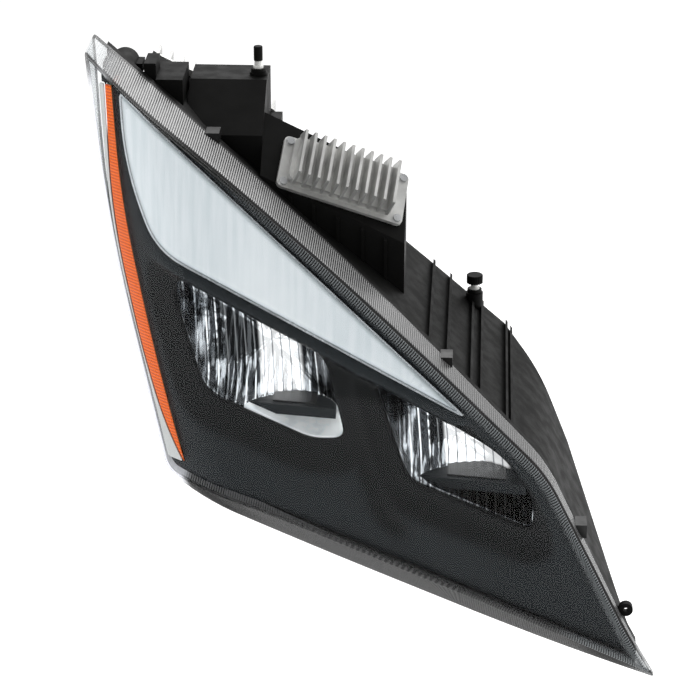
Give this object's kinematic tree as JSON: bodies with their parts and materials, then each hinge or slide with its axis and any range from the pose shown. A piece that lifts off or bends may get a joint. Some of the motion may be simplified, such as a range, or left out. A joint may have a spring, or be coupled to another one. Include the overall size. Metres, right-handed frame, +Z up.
{
  "type": "car headlight assembly",
  "caption": "Left-facing truck headlamp: clear sloping lens, black bezel, light-guide panel, two aimed reflector units, ribbed housing and finned driver.",
  "frame": {"origin": "centre of the main rear mounting pad, on its flat face", "axes": "+X inboard across the vehicle, +Y rearwards (the lamp shines along -Y), +Z up"},
  "size_m": [0.5697, 0.3839, 0.5615],
  "materials": {
    "clear_lens": "clear polycarbonate, gloss",
    "seal_rubber": "matt foam rubber",
    "housing_black": "fine moulded texture",
    "spring_steel": "zinc plated",
    "bezel_black": "satin black",
    "light_guide": "frosted white",
    "bright_trim": "satin metallised",
    "white_plastic": "white nylon",
    "board_green": "solder mask",
    "amber_lens": "translucent amber",
    "bare_aluminium": "die cast, bead blasted",
    "steel_screws": "zinc plated",
    "chrome_reflector": "vacuum metallised",
    "bulb_glass": "amber glass"
  },
  "bodies": {
    "lamp_housing": {"bezel": "bezel_black", "connector_pins": "steel_screws", "driver_board": "board_green", "driver_gasket": "seal_rubber", "driver_heat_sink": "bare_aluminium", "driver_screws": "steel_screws", "drl_led_board": "board_green", "drl_light_guide": "light_guide", "drl_tray": "white_plastic", "drl_trim": "bright_trim", "harness_connector": "housing_black", "high_adjuster_bush": "white_plastic", "high_cover_seal": "seal_rubber", "high_pivot_bracket": "spring_steel", "housing": "housing_black", "lens": "clear_lens", "lens_clips": "spring_steel", "lens_seal": "seal_rubber", "low_adjuster_bush": "white_plastic", "low_cover_seal": "seal_rubber", "low_pivot_bracket": "spring_steel", "mount_inserts": "steel_screws", "rear_gasket": "seal_rubber", "rear_heat_sink": "bare_aluminium", "rear_sink_screws": "steel_screws", "side_marker_board": "board_green", "side_marker_lens": "amber_lens", "side_reflector_strip": "white_plastic", "vent_cap": "housing_black", "vent_membrane": "light_guide"},
    "low_beam_unit": {"low_reflector": "chrome_reflector", "low_led_shelf": "bezel_black", "low_led_board": "board_green", "low_heat_sink": "bare_aluminium", "low_aim_arm": "steel_screws", "low_pivot_pins": "steel_screws"},
    "high_beam_unit": {"high_reflector": "chrome_reflector", "high_led_shelf": "bezel_black", "high_led_board": "board_green", "high_heat_sink": "bare_aluminium", "high_aim_arm": "steel_screws", "high_pivot_pins": "steel_screws"},
    "low_adjuster": {"low_adjuster_screw": "white_plastic", "low_adjuster_cap": "housing_black"},
    "high_adjuster": {"high_adjuster_screw": "white_plastic", "high_adjuster_cap": "housing_black"},
    "low_nut": {"low_adjuster_nut": "white_plastic"},
    "high_nut": {"high_adjuster_nut": "white_plastic"},
    "low_cover": {"low_rear_cover": "housing_black"},
    "high_cover": {"high_rear_cover": "housing_black"},
    "marker_bulb_socket": {"marker_socket": "housing_black", "marker_bulb": "bulb_glass"}
  },
  "joints": [
    {"name": "low_beam_aim", "type": "hinge", "parent": "lamp_housing", "child": "low_beam_unit", "pos_m": [-0.078, -0.19, -0.025], "axis": [1, 0, 0], "range_deg": [-2.5, 2.5]},
    {"name": "low_adjuster_turn", "type": "hinge", "parent": "lamp_housing", "child": "low_adjuster", "pos_m": [-0.102, -0.04, 0], "axis": [0, 0, 1], "range_deg": [-1437, 1437]},
    {"name": "low_nut_travel", "type": "slide", "parent": "lamp_housing", "child": "low_nut", "axis": [0, 0, 1], "range_m": [-0.00617, 0.00617]},
    {"name": "high_beam_aim", "type": "hinge", "parent": "lamp_housing", "child": "high_beam_unit", "pos_m": [0.113, -0.235, -0.09], "axis": [1, 0, 0], "range_deg": [-2.5, 2.5]},
    {"name": "high_adjuster_turn", "type": "hinge", "parent": "lamp_housing", "child": "high_adjuster", "pos_m": [0.123, -0.026, 0], "axis": [0, 0, 1], "range_deg": [-2054.9, 2054.9]},
    {"name": "high_nut_travel", "type": "slide", "parent": "lamp_housing", "child": "high_nut", "axis": [0, 0, 1], "range_m": [-0.00874, 0.00874]},
    {"name": "low_cover_turn", "type": "hinge", "parent": "lamp_housing", "child": "low_cover", "pos_m": [-0.085, 0, -0.008], "axis": [0, 1, 0], "range_deg": [0, 45]},
    {"name": "high_cover_turn", "type": "hinge", "parent": "lamp_housing", "child": "high_cover", "pos_m": [0.094, 0, -0.056], "axis": [0, 1, 0], "range_deg": [0, 45]},
    {"name": "marker_socket_turn", "type": "hinge", "parent": "lamp_housing", "child": "marker_bulb_socket", "pos_m": [-0.236, 0, 0.251], "axis": [0, 1, 0], "range_deg": [0, 45]}
  ],
  "couplings": [
    {"joint": "low_adjuster_turn", "follows": "low_beam_aim", "ratio": 572.82},
    {"joint": "low_nut_travel", "follows": "low_beam_aim", "m_per_rad": 0.1368},
    {"joint": "high_adjuster_turn", "follows": "high_beam_aim", "ratio": 819.96},
    {"joint": "high_nut_travel", "follows": "high_beam_aim", "m_per_rad": 0.1958}
  ]
}
